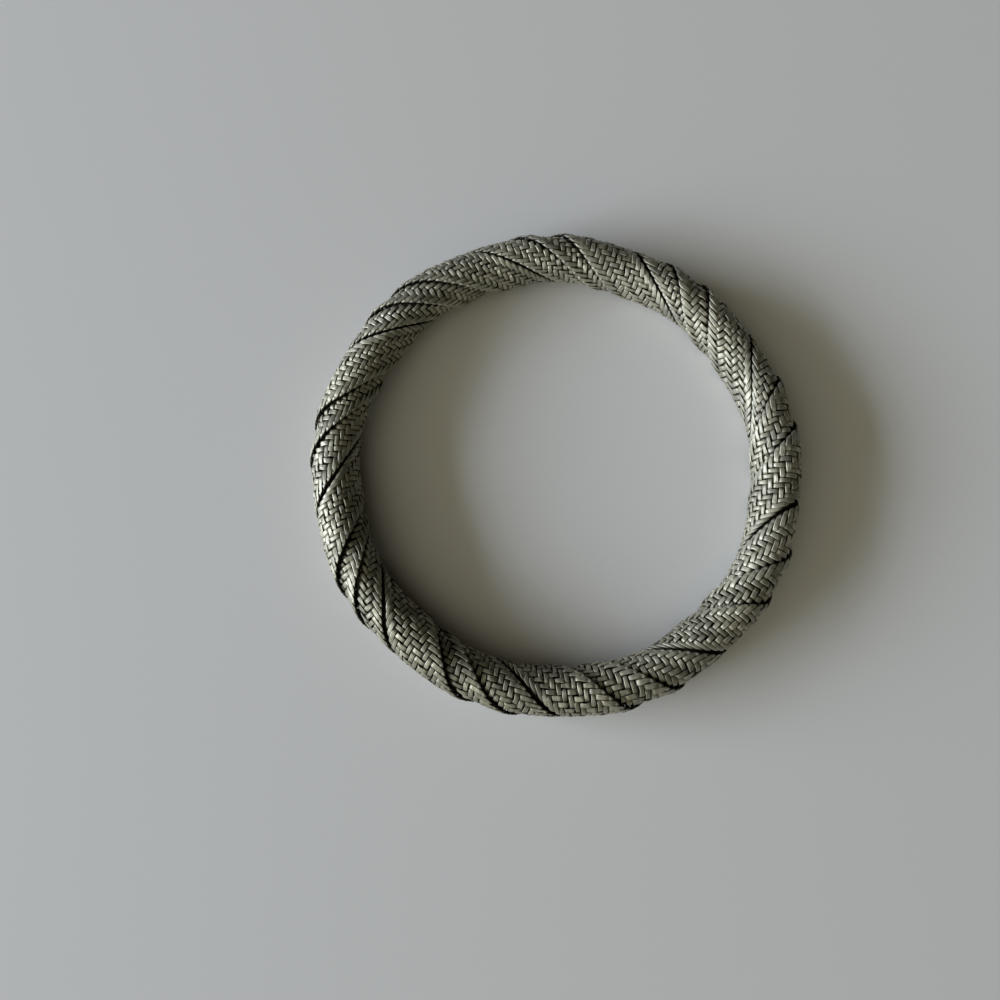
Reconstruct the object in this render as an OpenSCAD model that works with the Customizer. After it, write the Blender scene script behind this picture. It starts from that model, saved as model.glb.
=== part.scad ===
// Twisted wire bangle: a rigid ring wrapped all round by three flat woven wire plaits.
// The bangle lies flat. +Z is up, the wrist opening runs along Z and z = 0 is the surface below.

/* [Bangle] */
// Clear width of the wrist opening, in mm
wrist_d = 65; // [56:0.5:72]
// Thickness of the round core ring the plaits are wrapped on, in mm
core_d = 5.3; // [4.6:0.1:6.4]

/* [Plaits] */
// Thickness of a woven plait, in mm
plait_t = 0.95; // [0.7:0.05:1.2]
// Thickness of the pressed edge that lies under the next plait, in mm
tuck_t = 0.5; // [0.35:0.05:0.65]
// Least length of a narrow plait along the ring, tucked edge included, in mm
narrow_w = 8.9; // [8:0.1:9.6]
// Least tuck of a narrow plait below the next one, in mm
min_tuck = 0.8; // [0.5:0.1:1.2]
// Room between the core ring and the plaits, in mm
core_gap = 0.1; // [0.06:0.01:0.2]
// Room between two plaits that lie on each other, in mm
lay_gap = 0.1; // [0.08:0.01:0.2]
// Room between two plaits that lie side by side, in mm
side_gap = 0.18; // [0.12:0.01:0.3]
// Length over which a raised edge comes down to the core, in mm
ramp_w = 0.85; // [0.6:0.05:1.2]
// Sections of a plait for one turn round the core
turn_steps = 16; // [12:1:18]

/* [Hidden] */

// One row for each fold line where a new panel begins, clockwise from the back of the ring.
// crest_deg is the angle on top of the ring, run_in_deg the angle from the outside edge to the
// crest, run_out_deg the angle from the crest to the inside edge.
// columns: [crest_deg, run_in_deg, run_out_deg]
folds = [
    [  5.8,  7.3, 10.3],
    [ 25.3,  7.4, 14.0],
    [ 34.0,  6.7, 10.4],
    [ 43.9,  6.2,  9.8],
    [ 62.0,  8.4, 19.2],
    [ 72.4,  5.8, 12.4],
    [ 84.7,  6.3, 10.5],
    [103.3,  5.4, 12.0],
    [117.7,  8.1, 11.2],
    [128.8,  6.9, 10.8],
    [145.7,  8.4, 11.8],
    [158.4,  7.3, 10.5],
    [169.9,  7.2,  9.8],
    [187.9,  8.6, 11.0],
    [200.6, 10.0, 10.8],
    [209.7,  8.3,  9.4],
    [229.2,  9.6, 12.0],
    [239.6, 10.0, 12.0],
    [247.4,  9.0, 10.8],
    [265.1,  9.1, 13.9],
    [278.6, 10.0, 12.6],
    [286.6,  8.3, 13.8],
    [306.2, 10.0, 13.7],
    [316.5,  9.8, 11.9],
    [326.3, 10.8, 13.7],
    [345.1, 10.8, 13.4],
    [357.4,  9.6, 11.7],
];

// One row for each plait, in the order they follow each other round the ring.
// columns: [first fold, left edge raised on the plait before, right edge tucked, spans across]
plaits = [
    [0, true, false, 6],
    [1, false, true, 3],
    [2, true, true, 3],
];

fold_count = len(folds);
starts = len(plaits);
turns = fold_count / starts;
step = 360 / turn_steps;
stations = turns * turn_steps;

base_r = (core_d / 2 + core_gap) / cos(step / 2);
lift = tuck_t + lay_gap;
panel_r = base_r + plait_t;
edge_r = panel_r + lift;
ring_r = wrist_d / 2 + (panel_r + edge_r) / 2;
rest_z = edge_r * cos(step / 2);

// an arc length along the ring as an angle
function arc(w) = w / ring_r * 180 / PI;

function wrap(j) = ((j % fold_count) + fold_count) % fold_count;
function fold_value(j, column) =
    folds[wrap(j)][column] + (column == 0 ? 360 * floor(j / fold_count) : 0);

// ring angle of fold line j on the outside, the top, the inside and the underside
function outside(j) = fold_value(j, 0) - fold_value(j, 1);
function inside(j) = fold_value(j, 0) + fold_value(j, 2);
function knot(first, m) =
    let (j = first + starts * floor(m / 4), side = m - 4 * floor(m / 4))
    side == 0 ? outside(j)
    : side == 1 ? fold_value(j, 0)
    : side == 2 ? inside(j)
    : (inside(j) + outside(j + starts)) / 2;

function curve(a, b, c, d, f) =
    b + 0.5 * f * (c - a + f * (2 * a - 5 * b + 4 * c - d + f * (3 * b - a - 3 * c + d)));

// ring angle of a fold line at a turn angle round the core, 0 outside and 90 on top
function fold_at(first, turn) =
    let (u = turn / 90, m = floor(u))
    curve(knot(first, m - 1), knot(first, m), knot(first, m + 1), knot(first, m + 2), u - m);

// seen length of the panel that follows a fold line, and its tuck below the next one
function seen(first, turn) = fold_at(first + 1, turn) - fold_at(first, turn);
function tuck(p, first, turn) =
    plaits[p][2]
    ? min(max(arc(narrow_w) - seen(first, turn), arc(min_tuck)),
          seen(first + 1, turn) - arc(ramp_w + min_tuck))
    : 0;

function place(angle, turn, height) =
    let (rho = base_r + height, r = ring_r + rho * cos(turn))
    [r * sin(angle), r * cos(angle), rest_z + rho * sin(turn)];

function spread(from, to, n) = [for (i = [1:n]) from + (to - from) * i / n];

// outline of a plait at one turn angle as [length along the ring, height above the core]
function section(p, turn) =
    let (
        first = plaits[p][0],
        raised = plaits[p][1],
        tucked = plaits[p][2],
        spans = plaits[p][3],
        v = seen(first, turn),
        t = tuck(p, first, turn),
        before = (p + starts - 1) % starts,
        under = raised ? tuck(before, first - 1, turn) : 0,
        gap = arc(side_gap),
        up = raised ? lift : 0,
        rest = under + 2 * gap,
        down = rest + arc(ramp_w),
        end = v - gap + t,
        bevel = arc(plait_t / 2),
        press = v - 1.6 * gap
    )
    concat(
        [[0, up], [rest / 2, up], [rest, up], [down, 0]],
        [for (x = spread(down, end, spans)) [x, 0]],
        tucked
        ? [[end, tuck_t * 0.6], [end - bevel / 2, tuck_t], [(end + press) / 2, tuck_t],
           [press, tuck_t], [press - bevel, plait_t]]
        : [[end, plait_t * 0.55], [end - bevel, plait_t]],
        let (
            far = (tucked ? press : end) - bevel,
            count = tucked ? spans - 1 : spans,
            fall = max(0.8 * far, down)
        )
        [for (i = [1:count]) let (x = far + (bevel - far) * i / (count + 1))
            [x, plait_t + up * max(0, 1 - x / fall)]],
        [[bevel, plait_t + up], [0, up + plait_t * 0.55]]
    );

module plait(p) {
    sections = [for (s = [0:stations - 1])
        let (turn = (s + 0.5) * step, left = fold_at(plaits[p][0], turn))
        [for (q = section(p, turn)) place(left + q[0], turn, q[1])]];
    n = len(sections[0]);
    // each quad is split along its shorter diagonal, so the facets hug the round core
    faces = [for (s = [0:stations - 1]) for (i = [0:n - 1])
        let (a = s * n + i, b = s * n + (i + 1) % n,
             c = ((s + 1) % stations) * n + i, d = ((s + 1) % stations) * n + (i + 1) % n)
        each i < 3 + plaits[p][3] ? [[a, c, b], [b, c, d]] : [[a, d, b], [a, c, d]]];
    polyhedron(points = [for (q = sections) each q], faces = faces, convexity = 20);
}

// plain round ring inside the plaits
module core_ring() {
    color([0.35, 0.33, 0.30])
        translate([0, 0, rest_z])
            rotate_extrude($fn = 128)
                translate([ring_r, 0])
                    circle(d = core_d, $fn = 64);
}

module wide_plait() {
    color([0.58, 0.57, 0.50])
        plait(0);
}

module middle_plait() {
    color([0.62, 0.61, 0.54])
        plait(1);
}

module slim_plait() {
    color([0.54, 0.53, 0.47])
        plait(2);
}

core_ring();
wide_plait();
middle_plait();
slim_plait();
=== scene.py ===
import bpy
import math
import numpy as np
from mathutils import Matrix, Vector


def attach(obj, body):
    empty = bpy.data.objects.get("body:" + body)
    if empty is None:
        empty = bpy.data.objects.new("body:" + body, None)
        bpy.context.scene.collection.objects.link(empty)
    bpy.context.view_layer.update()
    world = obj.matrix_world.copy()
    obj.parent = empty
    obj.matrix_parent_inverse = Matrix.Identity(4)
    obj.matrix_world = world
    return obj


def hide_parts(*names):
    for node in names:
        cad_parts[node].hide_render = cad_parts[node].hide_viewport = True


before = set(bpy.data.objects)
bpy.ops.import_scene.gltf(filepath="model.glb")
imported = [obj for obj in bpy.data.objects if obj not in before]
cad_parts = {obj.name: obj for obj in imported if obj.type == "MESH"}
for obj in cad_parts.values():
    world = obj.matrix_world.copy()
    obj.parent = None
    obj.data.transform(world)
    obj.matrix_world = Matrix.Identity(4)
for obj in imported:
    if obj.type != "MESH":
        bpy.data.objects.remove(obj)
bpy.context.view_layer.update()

mm = 0.001

# sizes of the ring in mm, the same as in the part's source
bangle = {
    "wristDiameter": 65.0,
    "coreDiameter": 5.3,
    "coreGap": 0.1,
    "plaitThickness": 0.95,
    "tuckThickness": 0.5,
    "layGap": 0.1,
    "sideGap": 0.18,
    "rampWidth": 0.85,
    "narrowWidth": 8.9,
    "minTuck": 0.8,
    "turnSteps": 16,
}

# where each panel's fold lies: angle on the crest, run in from outside, run out to inside
folds = [
    (5.8, 7.3, 10.3), (25.3, 7.4, 14.0), (34.0, 6.7, 10.4),
    (43.9, 6.2, 9.8), (62.0, 8.4, 19.2), (72.4, 5.8, 12.4),
    (84.7, 6.3, 10.5), (103.3, 5.4, 12.0), (117.7, 8.1, 11.2),
    (128.8, 6.9, 10.8), (145.7, 8.4, 11.8), (158.4, 7.3, 10.5),
    (169.9, 7.2, 9.8), (187.9, 8.6, 11.0), (200.6, 10.0, 10.8),
    (209.7, 8.3, 9.4), (229.2, 9.6, 12.0), (239.6, 10.0, 12.0),
    (247.4, 9.0, 10.8), (265.1, 9.1, 13.9), (278.6, 10.0, 12.6),
    (286.6, 8.3, 13.8), (306.2, 10.0, 13.7), (316.5, 9.8, 11.9),
    (326.3, 10.8, 13.7), (345.1, 10.8, 13.4), (357.4, 9.6, 11.7),
]

foldCount = len(folds)
starts = 3
turns = foldCount // starts
halfStep = math.radians(180 / bangle["turnSteps"])
baseR = (bangle["coreDiameter"] / 2 + bangle["coreGap"]) / math.cos(halfStep)
lift = bangle["tuckThickness"] + bangle["layGap"]
panelR = baseR + bangle["plaitThickness"]
edgeR = panelR + lift
ringR = bangle["wristDiameter"] / 2 + (panelR + edgeR) / 2
restZ = edgeR * math.cos(halfStep)


def arc(length):
    # degrees round the ring that a length in mm takes up
    return length / ringR * 180 / math.pi


spareKnots = 8  # quarter turns known beyond each end of a fold line


def knotAngles(first):
    # ring angle of a fold line at every quarter turn round the core
    values = []
    for m in range(-spareKnots, 4 * turns + spareKnots + 1):
        turn, side = divmod(m, 4)
        a = first + starts * turn
        b = a + starts
        crestA, inA, outA = folds[a % foldCount]
        crestB, inB, _ = folds[b % foldCount]
        crestA += 360 * (a // foldCount)
        crestB += 360 * (b // foldCount)
        under = (crestA + outA + crestB - inB) / 2
        values.append((crestA - inA, crestA, crestA + outA, under)[side])
    return np.array(values)


foldKnots = {k: knotAngles(k) for k in range(-1, starts + 2)}


def foldAt(first, turn):
    # a smooth curve through the knots of one fold line
    u = turn / 90
    m = np.floor(u).astype(int)
    f = u - m
    k = foldKnots[first]
    p0, p1, p2, p3 = (k[m + spareKnots + d] for d in (-1, 0, 1, 2))
    return p1 + 0.5 * f * (p2 - p0 + f * (2 * p0 - 5 * p1 + 4 * p2 - p3 + f * (3 * p1 - p0 - 3 * p2 + p3)))


def seen(first, turn):
    return foldAt(first + 1, turn) - foldAt(first, turn)


def tuckOf(first, turn):
    want = np.maximum(arc(bangle["narrowWidth"]) - seen(first, turn), arc(bangle["minTuck"]))
    return np.minimum(want, seen(first + 1, turn) - arc(bangle["rampWidth"] + bangle["minTuck"]))


slopeReach = 12  # degrees of turn to each side over which a fold line's slope is taken
tableSteps = 180  # steps of the row table in one turn


def addRowTable(plait):
    # the weave's rows lie closer together where the plait runs flatter along the ring
    first = plait["firstFold"]
    turn = np.linspace(0, 360 * turns, tableSteps * turns + 1)
    run = sum(foldAt(k, turn + slopeReach) - foldAt(k, turn - slopeReach) for k in (first, first + 1))
    density = (run / (4 * slopeReach)) ** plait["rowCrowding"]
    count = np.concatenate([[0], np.cumsum((density[1:] + density[:-1]) / 2)])
    plait["rowTable"] = count * plait["rows"] / count[-1], turn


def rowTurn(plait, y):
    # turn angle of weave row y
    lap = np.floor(y / plait["rows"])
    rowCount, turn = plait["rowTable"]
    return np.interp(y - lap * plait["rows"], rowCount, turn) + 360 * turns * lap


def place(angle, turn, height):
    # ring angle clockwise from the back, turn angle round the core from the outside, in metres
    t, p = np.radians(angle), np.radians(turn)
    rho = baseR + height
    r = ringR + rho * np.cos(p)
    return np.stack([r * np.sin(t), r * np.cos(t), restZ + rho * np.sin(p)], -1) * mm


# towards the viewer and the left the plaits lie looser, with wider creases of painted shade, and their
# colour is darker
frontLeft = {"looseAngle": 232, "looseRoom": 0.28, "creaseWiden": 1.0, "darkAngle": 203, "darkness": 0.2}


def near(angle, middle):
    # 1 at the middle angle of the ring, 0 a quarter of the ring away
    return np.clip(np.cos(np.radians(angle - middle)), 0, 1) ** 2


# how a plait's section slopes from its raised edge, and where in mm a tucked edge is pressed thin
lay = {"slopeShare": 0.8, "pressGaps": 1.6, "pressStart": 0.27, "pressRun": 0.22}


def bandShape(plait, x, turn):
    # top, layer thickness and total width of a plait, and how deep in a crease it lies,
    # x in degrees from its left edge
    first = plait["firstFold"]
    v = seen(first, turn)
    gap = arc(bangle["sideGap"])
    thick = bangle["plaitThickness"]
    tucked = plait["tucked"]
    tuck = tuckOf(first, turn) if tucked else 0 * v
    up = lift if plait["raised"] else 0.0
    under = tuckOf(first - 1, turn) if plait["raised"] else 0 * v
    rest = under + 2 * gap
    down = rest + arc(bangle["rampWidth"])
    width = v - gap + tuck
    press = v - lay["pressGaps"] * gap if tucked else width
    fall = np.maximum(lay["slopeShare"] * (press - arc(thick / 2)), down)
    top = thick + up * np.clip(1 - x / fall, 0, 1)
    bottom = up * np.clip((down - x) / (down - rest), 0, 1)
    if tucked:
        pressed = np.clip((x - v + arc(lay["pressStart"])) / arc(lay["pressRun"]), 0, 1)
        top = top + (bangle["tuckThickness"] - top) * pressed
    # painted shade in a crease darkens the right edge, where the next plait begins
    loose = near(foldAt(first, turn) + x, frontLeft["looseAngle"])
    creaseWidth = arc(plait["creaseWidth"] * (1 + frontLeft["creaseWiden"] * loose))
    crease = np.clip(1 - (v - x) / creaseWidth, 0, 1)
    layer = np.minimum(top - bottom, thick)
    return top, layer, width, crease


def weaveSide(plait, c):
    # two over, two under: +1 where the ribbons that run along the ring lie on top, -1 where they dive
    n = plait["crossings"]
    dive = plait["dive"]
    f = np.cos(math.pi * (np.clip(c, plait["firstDive"], n - 1) - 0.5) / 2)
    leftFade = np.clip((c + plait["fadeStart"]) / plait["fadeRun"], 0, 1)
    return np.tanh(dive * f) / math.tanh(dive) * leftFade


def strandPath(plait, start):
    # one ribbon's whole way through the plait on the weave grid: x, y, and which way it runs
    n = plait["crossings"]
    leg = n + 1
    bend = plait["bendRadius"]
    samples = int(round((leg - 2 * bend) * plait["samplesPerCell"])) + 1
    straight = np.linspace(bend, leg - bend, samples)
    turnAngles = np.radians(np.linspace(0, 90, plait["cornerSteps"] + 1)[1:-1])
    xs, ys, along = [], [], []
    x, y = float(start), float(start - n)
    for lap in range(plait["rows"] // leg):
        # up the tube to the left edge
        xs += [x + 0 * straight, x + bend * (1 - np.cos(turnAngles))]
        ys += [y + straight, y + leg - bend + bend * np.sin(turnAngles)]
        along += [0 * straight, turnAngles / (math.pi / 2)]
        y += leg
        # along the ring to the right edge
        xs += [x + straight, x + leg - bend + bend * np.sin(turnAngles)]
        ys += [y + 0 * straight, y + bend * (1 - np.cos(turnAngles))]
        along += [1 + 0 * straight, 1 - turnAngles / (math.pi / 2)]
        x += leg
    return np.concatenate(xs), np.concatenate(ys), np.concatenate(along)


# outline across one flat ribbon: crisp shoulders and a slightly crowned top
ribbonOutline = np.array([
    (-1.0, 0.0), (-0.93, 0.78), (-0.56, 1.0), (0.56, 1.0),
    (0.93, 0.78), (1.0, 0.0), (0.72, -1.0), (-0.72, -1.0),
])
floorGap = 0.00001  # lowest height of a ribbon above the floor, in metres


def ripple(waves, x, y, phases):
    # small waves over the weave grid: each has a size, a rate along x and a rate along y
    return sum(size * np.sin(rateX * x + rateY * y + p) for (size, rateX, rateY), p in zip(waves, phases))


def ribbonFrame(centre, angle, turn):
    # sideways and upward directions all along a ribbon
    t, p = np.radians(angle), np.radians(turn)
    outward = np.stack([np.cos(p) * np.sin(t), np.cos(p) * np.cos(t), np.sin(p)], -1)
    ahead = np.roll(centre, -1, 0) - np.roll(centre, 1, 0)
    ahead /= np.linalg.norm(ahead, axis=1)[:, None]
    sideways = np.cross(ahead, outward)
    sideways /= np.linalg.norm(sideways, axis=1)[:, None]
    return sideways, np.cross(sideways, ahead)


def cellPitch(plait, row, turn, height, cell, along):
    # room for one ribbon in mm: across the plait or from row to row
    stepTurn = rowTurn(plait, row + 0.5) - rowTurn(plait, row - 0.5)
    pitchAcross = cell * math.pi / 180 * (ringR + (baseR + height) * np.cos(np.radians(turn)))
    pitchRows = stepTurn * math.pi / 180 * (baseR + height)
    return pitchAcross * (1 - along) + pitchRows * along


def buildStrand(plait, start, rng):
    n = plait["crossings"]
    x, y, along = strandPath(plait, start)
    c = x - y
    p1, p2, p3, p4 = rng.uniform(0, 2 * math.pi, 4)

    # the ribbon's way over the plait: rows lag a little at the two edges
    lag = plait["leftLag"] * np.exp(-(c + plait["leftCorner"]) / plait["leftLagReach"])
    lag = lag + plait["rightLag"] * np.exp(-(n + plait["rightCorner"] - c) / plait["rightLagReach"])
    wobble = ripple(plait["wobbleWaves"], x, y, (p1, p2))
    wobble *= np.clip((c + plait["wobbleStart"]) / plait["wobbleRun"], 0, 1)
    row = y - lag + wobble * along
    turn = rowTurn(plait, row)
    leftEdge = foldAt(plait["firstFold"], turn)
    room = arc(frontLeft["looseRoom"]) * near(leftEdge, frontLeft["looseAngle"])
    width = bandShape(plait, 0 * turn, turn)[2]
    cell = (width - arc(plait["edgeRoom"]) - room) / (n + plait["spareCells"])
    across = room + (c + plait["firstCell"]) * cell + wobble * cell * (1 - along)
    angle = leftEdge + across
    top, layer, _, crease = bandShape(plait, across, turn)
    side = weaveSide(plait, c) * (2 * along - 1)

    # at the two edges the ribbon turns over and bunches up into a cord
    corner = 1 - np.abs(2 * along - 1)
    atLeft = np.clip(1 - (c + 1) / plait["bunchReach"], 0, 1)
    bunch = np.clip(corner + plait["bunchShare"] * atLeft * np.clip(side, 0, 1), 0, 1)
    cord = np.where(c < n / 2, plait["leftCord"], plait["rightCord"])

    # over and under: half thickness, and height above the base of the plait
    thin = np.minimum(plait["ribbonThick"] / 2, layer * plait["thinShare"])
    half = thin * (1 + plait["cordRound"] * bunch)
    rateX, rateY = plait["jitterRates"]
    jitter = 1 + plait["jitter"] * (1 - bunch) * np.sin(rateX * x + p3) * np.sin(rateY * y + p1)
    height = top - layer / 2 + side * (layer / 2 - thin) * jitter + cord * corner
    height = np.minimum(height + half, top + plait["proud"] + cord * bunch) - half
    centre = place(angle, turn, height)

    # no two floats lie quite level, so each one catches the light its own way
    sideways, upward = ribbonFrame(centre, angle, turn)
    roll = plait["roll"] * ripple(plait["rollWaves"], x, y, (p4, p2))
    roll = (roll * (1 - bunch))[:, None]
    sideways, upward = sideways + roll * upward, upward - roll * sideways
    uneven = 1 + plait["uneven"] * ripple(plait["unevenWaves"], x, y, (p1, p4))
    pitch = cellPitch(plait, row, turn, height, cell, along)
    halfWide = plait["ribbonShare"] * uneven * pitch / 2 * (1 - plait["cordSlim"] * bunch)

    u, w = ribbonOutline.T
    points = (
        centre[:, None, :]
        + sideways[:, None, :] * (halfWide[:, None] * u)[:, :, None] * mm
        + upward[:, None, :] * (half[:, None] * w)[:, :, None] * mm
    )
    points[:, :, 2] = np.maximum(points[:, :, 2], floorGap)
    # how high each point lies in the weave, with painted shade at the ribbon sides and in a crease, and
    # darker towards the viewer and the left
    level = (height[:, None] + half[:, None] * w - (top - layer)[:, None]) / layer[:, None]
    creaseShadeAndFrontLeftDark = (1 - plait["creaseShade"] * crease) * (1 - frontLeft["darkness"] * near(angle, frontLeft["darkAngle"]))
    lifted = np.clip(level - plait["sideShade"] * (1 - w), 0, 1) * creaseShadeAndFrontLeftDark[:, None]
    length = np.cumsum(np.linalg.norm(np.roll(centre, -1, 0) - centre, axis=1)) / mm
    return points, lifted, bunch, u, length


def addObject(name, data):
    thing = bpy.data.objects.new(name, data)
    bpy.context.collection.objects.link(thing)
    return thing


def addRibbons(name, plait, strands, material, seed):
    # several closed strands as one mesh
    rng = np.random.default_rng(seed)
    verts, quads, loopUv, liftMask, toneMask, ropeMask = [], [], [], [], [], []
    offset = 0
    for start in strands:
        points, lifted, bunch, u, length = buildStrand(plait, start, rng)
        rings, sides = points.shape[:2]
        verts.append(points.reshape(-1, 3))
        r0, s0 = np.meshgrid(np.arange(rings), np.arange(sides), indexing="ij")
        r1, s1 = (r0 + 1) % rings, (s0 + 1) % sides
        corners = ((r0, s0), (r0, s1), (r1, s1), (r1, s0))
        quads.append((np.stack([r * sides + s for r, s in corners], -1) + offset).reshape(-1, 4))
        begin = np.concatenate([[0], length[:-1]])
        ends = (begin, begin, length, length)
        uvs = [np.stack([u[s], v[r0]], -1) for (r, s), v in zip(corners, ends)]
        loopUv.append(np.stack(uvs, 2).reshape(-1, 2))
        liftMask.append(lifted.ravel())
        toneMask.append(np.full(rings * sides, rng.uniform(0, 1)))
        ropeMask.append(np.repeat(bunch, sides))
        offset += rings * sides
    verts = np.concatenate(verts)
    quads = np.concatenate(quads)
    mesh = bpy.data.meshes.new(name)
    mesh.vertices.add(len(verts))
    mesh.vertices.foreach_set("co", verts.astype(np.float32).ravel())
    mesh.loops.add(quads.size)
    mesh.loops.foreach_set("vertex_index", quads.astype(np.int32).ravel())
    mesh.polygons.add(len(quads))
    mesh.polygons.foreach_set("loop_start", np.arange(0, quads.size, 4, dtype=np.int32))
    mesh.update(calc_edges=True)
    mesh.polygons.foreach_set("use_smooth", np.ones(len(quads), dtype=bool))
    uvLayer = mesh.uv_layers.new(name="ribbonUv")
    uvLayer.data.foreach_set("uv", np.concatenate(loopUv).astype(np.float32).ravel())
    for label, values in (("lift", liftMask), ("tone", toneMask), ("rope", ropeMask)):
        layer = mesh.attributes.new(label, "FLOAT", "POINT")
        layer.data.foreach_set("value", np.concatenate(values).astype(np.float32))
    mesh.validate()
    mesh.materials.append(material)
    print("ribbons", name, "triangles", 2 * len(quads))
    return addObject(name, mesh)


# how old flat wire looks, with painted shade low in the weave and a painted highlight on the cords, and
# with the noise scales per metre
oldWire = {
    "streakAcross": 5.0, "streakAlong": 0.6, "streakShift": 40.0, "streakDetail": 3,
    "blotScale": 300, "blotDetail": 4, "blotMiddle": 0.47,
    "driftScale": 48, "patchScale": 170, "softDetail": 2,
    "grooveSharp": 2.5,
    "lowLevel": 0.86, "lowShadeAndTarnish": 1.7, "grooveDark": 0.30, "dirtBlot": 1.3,
    "wornLevel": 0.72, "wornHigh": 2.4, "ropeHighlight": 0.45, "wornLeast": 0.15, "wornStreak": 0.9,
    "toneLeast": 0.80, "toneStrand": 0.30, "toneDrift": 0.5, "tonePatch": 0.9,
    "rough": 0.58, "roughPolish": 0.36, "roughDirt": 0.35, "roughStreak": 0.25,
    "metallic": 0.8, "metallicDirt": 0.4,
    "reliefWire": 0.8, "reliefStreak": 0.2,
}


def makeAgedWireGroup(look):
    # colour with painted shade and highlights, roughness and relief of flat ribbons of fine wire, old
    # pewter in tone
    group = bpy.data.node_groups.new("agedWire", "ShaderNodeTree")
    sockets = {
        "INPUT": {
            "Float": ("Wires", "Lift", "Tone", "Rope", "Grime_and_shade", "Polish"),
            "Color": ("Metal", "Tarnish_and_shade", "Wear_and_highlight"),
            "Vector": ("Ribbon",),
        },
        "OUTPUT": {"Color": ("Color",), "Float": ("Roughness", "Metallic", "Height")},
    }
    for way, kinds in sockets.items():
        for kind, names in kinds.items():
            for name in names:
                group.interface.new_socket(name, in_out=way, socket_type="NodeSocket" + kind)
    nodes, links = group.nodes, group.links
    given = nodes.new("NodeGroupInput").outputs
    result = nodes.new("NodeGroupOutput").inputs

    def calc(op, a, b=None, clamp=False):
        m = nodes.new("ShaderNodeMath")
        m.operation = op
        m.use_clamp = clamp
        for k, v in enumerate((a, b)):
            if isinstance(v, (int, float)):
                m.inputs[k].default_value = v
            elif v is not None:
                links.new(v, m.inputs[k])
        return m.outputs[0]

    def add(a, b, clamp=False):
        return calc("ADD", a, b, clamp)

    def minus(a, b, clamp=False):
        return calc("SUBTRACT", a, b, clamp)

    def times(a, b, clamp=False):
        return calc("MULTIPLY", a, b, clamp)

    def mixColor(factor, a, b):
        m = nodes.new("ShaderNodeMix")
        m.data_type = "RGBA"
        # sockets 6 and 7 in and 2 out are the ones for colours
        for k, v in ((0, factor), (6, a), (7, b)):
            links.new(v, m.inputs[k])
        return m.outputs[2]

    def noise(vector, scale, detail):
        m = nodes.new("ShaderNodeTexNoise")
        m.inputs["Scale"].default_value = scale
        m.inputs["Detail"].default_value = detail
        links.new(vector, m.inputs["Vector"])
        return m.outputs["Fac"]

    split = nodes.new("ShaderNodeSeparateXYZ")
    links.new(given["Ribbon"], split.inputs[0])
    objectPoint = nodes.new("ShaderNodeTexCoord").outputs["Object"]
    # fine wires side by side in the ribbon
    wire = times(add(split.outputs[0], 1.0), times(given["Wires"], math.pi / 2))
    wave = calc("ABSOLUTE", calc("SINE", wire))
    groove = calc("POWER", minus(1.0, wave), look["grooveSharp"])
    # drawn streaks that run along each ribbon
    streakPoint = nodes.new("ShaderNodeCombineXYZ")
    links.new(times(split.outputs[0], look["streakAcross"]), streakPoint.inputs[0])
    links.new(times(split.outputs[1], look["streakAlong"]), streakPoint.inputs[1])
    links.new(times(given["Tone"], look["streakShift"]), streakPoint.inputs[2])
    streak = noise(streakPoint.outputs[0], 1.0, look["streakDetail"])
    blot = noise(objectPoint, look["blotScale"], look["blotDetail"])
    drift = noise(objectPoint, look["driftScale"], look["softDetail"])
    patch = noise(objectPoint, look["patchScale"], look["softDetail"])
    # tarnish and painted shade sit low in the weave and in the grooves, grime in blotches
    low = minus(look["lowLevel"], given["Lift"], clamp=True)
    dirt_and_shade = add(times(low, look["lowShadeAndTarnish"]), times(groove, look["grooveDark"]))
    dirt_and_shade = add(dirt_and_shade, times(minus(blot, look["blotMiddle"]), look["dirtBlot"]))
    dirt_and_shade = times(dirt_and_shade, given["Grime_and_shade"], clamp=True)
    # high spots are rubbed bright by wear, and the cords at the edges get a painted highlight
    wear_and_highlight = times(minus(given["Lift"], look["wornLevel"], clamp=True), look["wornHigh"])
    wear_and_highlight = add(wear_and_highlight, times(given["Rope"], look["ropeHighlight"]))
    wear_and_highlight = times(wear_and_highlight, add(look["wornLeast"], times(streak, look["wornStreak"])), clamp=True)
    base = mixColor(wear_and_highlight, given["Metal"], given["Wear_and_highlight"])
    base = mixColor(dirt_and_shade, base, given["Tarnish_and_shade"])
    # each strand has its own tone, which drifts round the ring
    shift = add(look["toneLeast"], times(given["Tone"], look["toneStrand"]))
    shift = add(shift, times(minus(drift, 0.5), look["toneDrift"]))
    shift = add(shift, times(minus(patch, 0.5), look["tonePatch"]))
    toned = nodes.new("ShaderNodeVectorMath")
    toned.operation = "SCALE"
    links.new(base, toned.inputs[0])
    links.new(shift, toned.inputs["Scale"])
    links.new(toned.outputs[0], result["Color"])
    rough = minus(look["rough"], times(given["Polish"], look["roughPolish"]))
    rough = add(rough, times(dirt_and_shade, look["roughDirt"]))
    rough = add(rough, times(minus(streak, 0.5), look["roughStreak"]), clamp=True)
    links.new(rough, result["Roughness"])
    metallic = minus(look["metallic"], times(dirt_and_shade, look["metallicDirt"]), clamp=True)
    links.new(metallic, result["Metallic"])
    height = add(times(calc("SQRT", wave), look["reliefWire"]), times(streak, look["reliefStreak"]))
    links.new(height, result["Height"])
    return group


agedWire = makeAgedWireGroup(oldWire)


def startMaterial(name):
    m = bpy.data.materials.new(name)
    m.use_nodes = True
    return m, m.node_tree.nodes["Principled BSDF"]


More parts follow.
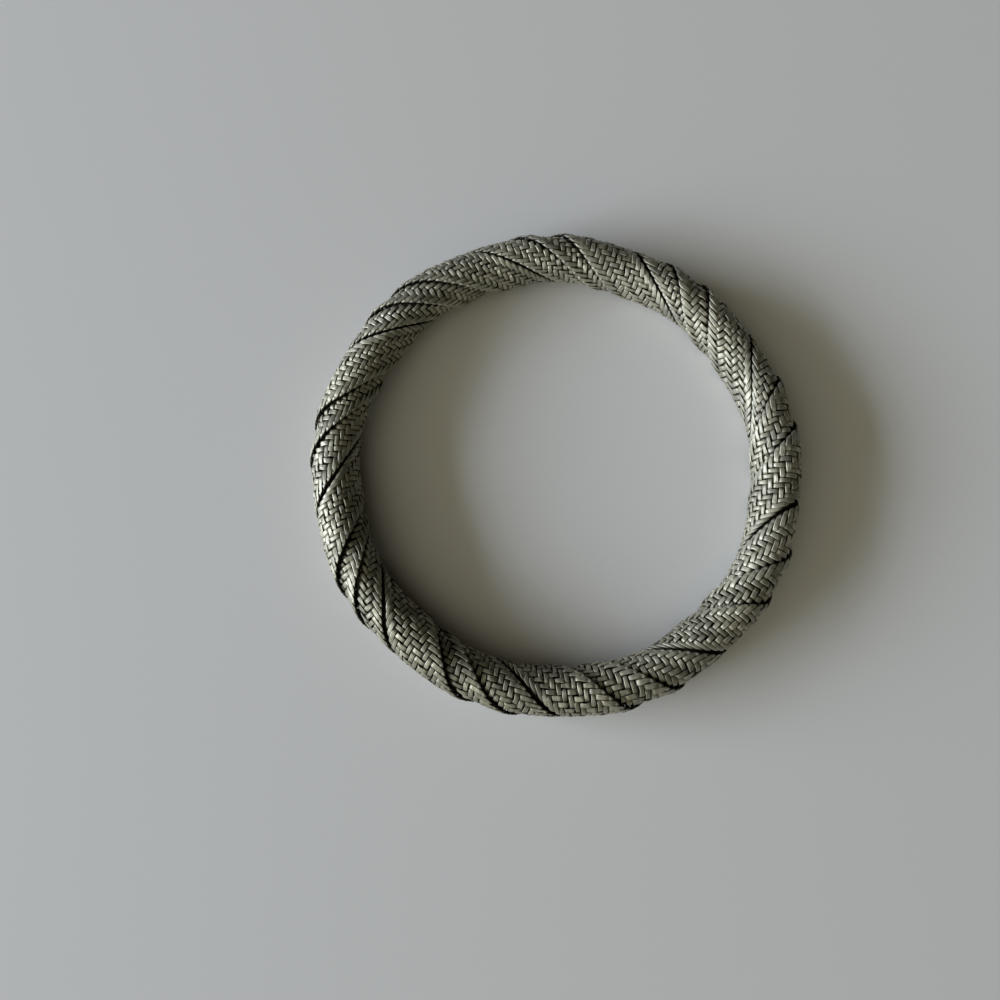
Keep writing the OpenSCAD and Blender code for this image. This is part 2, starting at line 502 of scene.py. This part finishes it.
def makeWireMaterial(name, finish):
    m, shader = startMaterial(name)
    nodes, links = m.node_tree.nodes, m.node_tree.links
    wire = nodes.new("ShaderNodeGroup")
    wire.node_tree = agedWire
    for label in ("wires", "grime_and_shade", "polish", "metal", "tarnish_and_shade", "wear_and_highlight"):
        wire.inputs[label.capitalize()].default_value = finish[label]
    for label in ("lift", "tone", "rope"):
        mask = nodes.new("ShaderNodeAttribute")
        mask.attribute_name = label
        links.new(mask.outputs["Fac"], wire.inputs[label.capitalize()])
    uv = nodes.new("ShaderNodeUVMap")
    uv.uv_map = "ribbonUv"
    links.new(uv.outputs["UV"], wire.inputs["Ribbon"])
    bump = nodes.new("ShaderNodeBump")
    bump.inputs["Strength"].default_value = finish["relief"]
    bump.inputs["Distance"].default_value = finish["reliefDepth"]
    links.new(wire.outputs["Height"], bump.inputs["Height"])
    links.new(bump.outputs["Normal"], shader.inputs["Normal"])
    links.new(wire.outputs["Color"], shader.inputs["Base Color"])
    links.new(wire.outputs["Roughness"], shader.inputs["Roughness"])
    links.new(wire.outputs["Metallic"], shader.inputs["Metallic"])
    # a thin clear skin on the metal gives the small cool glints
    shader.inputs["Coat Weight"].default_value = finish["sheen"]
    shader.inputs["Coat Roughness"].default_value = finish["sheenRoughness"]
    return m


# the weave that all three plaits share, with lengths in mm and places in cells of the weave
weave = {
    "rows": 234, "rowCrowding": 0.68,
    "samplesPerCell": 4, "cornerSteps": 6, "bendRadius": 0.72,
    "spareCells": 1.28, "firstCell": 1.14, "edgeRoom": 0.0,
    "leftCorner": 1.1, "leftLag": 0.5, "leftLagReach": 1.2,
    "rightCorner": 0.1, "rightLag": 0.5, "rightLagReach": 0.9,
    "dive": 3.0, "firstDive": 0.2, "fadeStart": 0.70, "fadeRun": 0.5,
    "ribbonShare": 0.85, "ribbonThick": 0.32, "thinShare": 0.30, "proud": 0.04,
    "roll": 0.14, "rollWaves": ((1.0, 2.1, 1.3), (0.7, 3.7, -2.9)),
    "uneven": 0.08, "unevenWaves": ((1.0, 1.9, 2.6), (0.6, -1.5, 0.7)),
    "wobbleWaves": ((0.06, 0.9, 0.7), (0.04, -1.1, 2.3)), "wobbleStart": 0.6, "wobbleRun": 1.5,
    "jitter": 0.20, "jitterRates": (1.7, 1.3),
    "bunchReach": 1.6, "bunchShare": 0.5,
    "cordRound": 0.40, "cordSlim": 0.38, "leftCord": 0.20, "rightCord": 0.0,
    # creases get painted shade, and so do the ribbon sides
    "creaseWidth": 0.36, "creaseShade": 0.7, "sideShade": 0.3,
}
# the darkest colour stands for tarnish and for painted shade low in the weave; the brightest for wear and
# a painted highlight on the cords
wireFinish = {
    "wires": 3.0, "polish": 0.06, "grime_and_shade": 0.97, "tarnish_and_shade": (0.018, 0.015, 0.009, 1),
    "relief": 0.8, "reliefDepth": 0.00005, "sheen": 0.4, "sheenRoughness": 0.26,
}

widePlait = {
    **weave, "firstFold": 0, "raised": True, "tucked": False, "crossings": 12, "parts": 3, "seed": 11,
    "rightLag": 0.9, "edgeRoom": 0.22, "rightCord": 0.05, "creaseWidth": 0.34,
    "finish": {**wireFinish, "metal": (0.35, 0.33, 0.245, 1), "wear_and_highlight": (0.65, 0.64, 0.565, 1)},
}
middlePlait = {
    **weave, "firstFold": 1, "raised": False, "tucked": True, "crossings": 8, "parts": 2, "seed": 23,
    "leftCord": 0.22,
    "finish": {**wireFinish, "metal": (0.36, 0.34, 0.255, 1), "wear_and_highlight": (0.67, 0.66, 0.585, 1)},
}
slimPlait = {
    **weave, "firstFold": 2, "raised": True, "tucked": True, "crossings": 8, "parts": 2, "seed": 37,
    "finish": {
        **wireFinish, "metal": (0.34, 0.32, 0.235, 1), "wear_and_highlight": (0.63, 0.62, 0.545, 1),
        "grime_and_shade": 1.0, "tarnish_and_shade": (0.017, 0.014, 0.008, 1),
    },
}


def buildPlait(name, node, plait):
    material = makeWireMaterial(name + "Wire", plait["finish"])
    addRowTable(plait)
    for part in range(plait["parts"]):
        strands = range(part, plait["crossings"] + 1, plait["parts"])
        piece = addRibbons(f"{name}Ribbons{part + 1}", plait, strands, material, plait["seed"] + part)
        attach(piece, "root")
        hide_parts(node)


buildPlait("widePlait", "wide_plait", widePlait)
buildPlait("middlePlait", "middle_plait", middlePlait)
buildPlait("slimPlait", "slim_plait", slimPlait)

coreFinish = {
    "color": (0.020, 0.017, 0.012, 1), "streak": (0.055, 0.048, 0.036, 1),
    "grainScale": 420, "grainDetail": 4, "colorEnd": 0.35, "streakStart": 0.7,
    "roughness": 0.7, "metallic": 0.6,
}


def makeCoreMaterial(finish):
    m, shader = startMaterial("coreMetal")
    nodes, links = m.node_tree.nodes, m.node_tree.links
    coords = nodes.new("ShaderNodeTexCoord")
    noise = nodes.new("ShaderNodeTexNoise")
    noise.inputs["Scale"].default_value = finish["grainScale"]
    noise.inputs["Detail"].default_value = finish["grainDetail"]
    links.new(coords.outputs["Object"], noise.inputs["Vector"])
    ramp = nodes.new("ShaderNodeValToRGB")
    dark, light = ramp.color_ramp.elements
    dark.position = finish["colorEnd"]
    dark.color = finish["color"]
    light.position = finish["streakStart"]
    light.color = finish["streak"]
    links.new(noise.outputs["Fac"], ramp.inputs["Fac"])
    links.new(ramp.outputs["Color"], shader.inputs["Base Color"])
    shader.inputs["Roughness"].default_value = finish["roughness"]
    shader.inputs["Metallic"].default_value = finish["metallic"]
    return m


def finishCore(core, material):
    if core.material_slots:
        for s in core.material_slots:
            s.material = material
    else:
        core.data.materials.append(material)


finishCore(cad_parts["core_ring"], makeCoreMaterial(coreFinish))
print("core ring finished")

floorLook = {"size": 6.0, "color": (0.725, 0.715, 0.73, 1), "roughness": 0.8}


def makeFloor(look):
    h = look["size"] / 2
    mesh = bpy.data.meshes.new("floor")
    mesh.from_pydata([(-h, -h, 0), (h, -h, 0), (h, h, 0), (-h, h, 0)], [], [(0, 1, 2, 3)])
    m, shader = startMaterial("paleFloor")
    shader.inputs["Base Color"].default_value = look["color"]
    shader.inputs["Roughness"].default_value = look["roughness"]
    mesh.materials.append(m)
    addObject("floor", mesh)


makeFloor(floorLook)


def toward(look):
    a, e = math.radians(look["azimuth"]), math.radians(look["elevation"])
    return Vector((math.sin(a) * math.cos(e), math.cos(a) * math.cos(e), math.sin(e)))


# one wide soft light low on the left
windowLook = {
    "azimuth": 263, "elevation": 16.5, "distance": 2.2,
    "width": 1.8, "height": 0.6, "power": 74, "color": (0.80, 0.885, 1.0),
}


def addWindow(look):
    data = bpy.data.lights.new("windowLight", "AREA")
    data.shape = "RECTANGLE"
    data.size = look["width"]
    data.size_y = look["height"]
    data.energy = look["power"]
    data.color = look["color"]
    lamp = addObject("windowLight", data)
    spot = toward(look) * look["distance"]
    lamp.location = spot
    lamp.rotation_euler = (-spot).to_track_quat("-Z", "Y").to_euler()


# a dim warm room that glows a little on that side, before a plain backdrop
roomLook = {
    "azimuth": 233, "elevation": 25, "edge": 0.3,
    "glow": (0.78, 0.75, 0.55, 1), "shade": (0.014, 0.012, 0.006, 1), "backdrop": (0.62, 0.62, 0.61, 1),
}


def makeRoom(look):
    world = bpy.data.worlds.new("dimRoom")
    bpy.context.scene.world = world
    world.use_nodes = True
    nodes, links = world.node_tree.nodes, world.node_tree.links
    room = nodes["Background"]
    coords = nodes.new("ShaderNodeTexCoord")
    side = nodes.new("ShaderNodeVectorMath")
    side.operation = "DOT_PRODUCT"
    side.inputs[1].default_value = toward(look)
    links.new(coords.outputs["Generated"], side.inputs[0])
    ramp = nodes.new("ShaderNodeValToRGB")
    shade, glow = ramp.color_ramp.elements
    shade.position = look["edge"]
    shade.color = look["shade"]
    glow.position = 1.0
    glow.color = look["glow"]
    links.new(side.outputs["Value"], ramp.inputs["Fac"])
    links.new(ramp.outputs["Color"], room.inputs["Color"])
    backdrop = nodes.new("ShaderNodeBackground")
    backdrop.inputs["Color"].default_value = look["backdrop"]
    path = nodes.new("ShaderNodeLightPath")
    mix = nodes.new("ShaderNodeMixShader")
    links.new(path.outputs["Is Camera Ray"], mix.inputs[0])
    links.new(room.outputs[0], mix.inputs[1])
    links.new(backdrop.outputs[0], mix.inputs[2])
    links.new(mix.outputs[0], nodes["World Output"].inputs["Surface"])


addWindow(windowLook)
makeRoom(roomLook)
bpy.context.scene.view_settings.view_transform = "Standard"

# the viewpoint, worked out from the ring's outline in the picture
viewpoint = {
    "place": (-0.01201, -0.02524, 0.12131), "pitch": 9.4, "roll": -1.2,
    "lens": 26.0, "sensor": 36.0, "nearest": 0.005,
}


def addCamera(look):
    data = bpy.data.cameras.new("camera")
    data.lens = look["lens"]
    data.sensor_width = look["sensor"]
    data.clip_start = look["nearest"]
    camera = addObject("camera", data)
    turnX = Matrix.Rotation(math.radians(look["pitch"]), 4, "X")
    turnY = Matrix.Rotation(math.radians(look["roll"]), 4, "Y")
    camera.matrix_world = Matrix.Translation(look["place"]) @ turnX @ turnY
    bpy.context.scene.camera = camera


addCamera(viewpoint)
print("floor, lights and camera set")

bpy.context.view_layer.update()
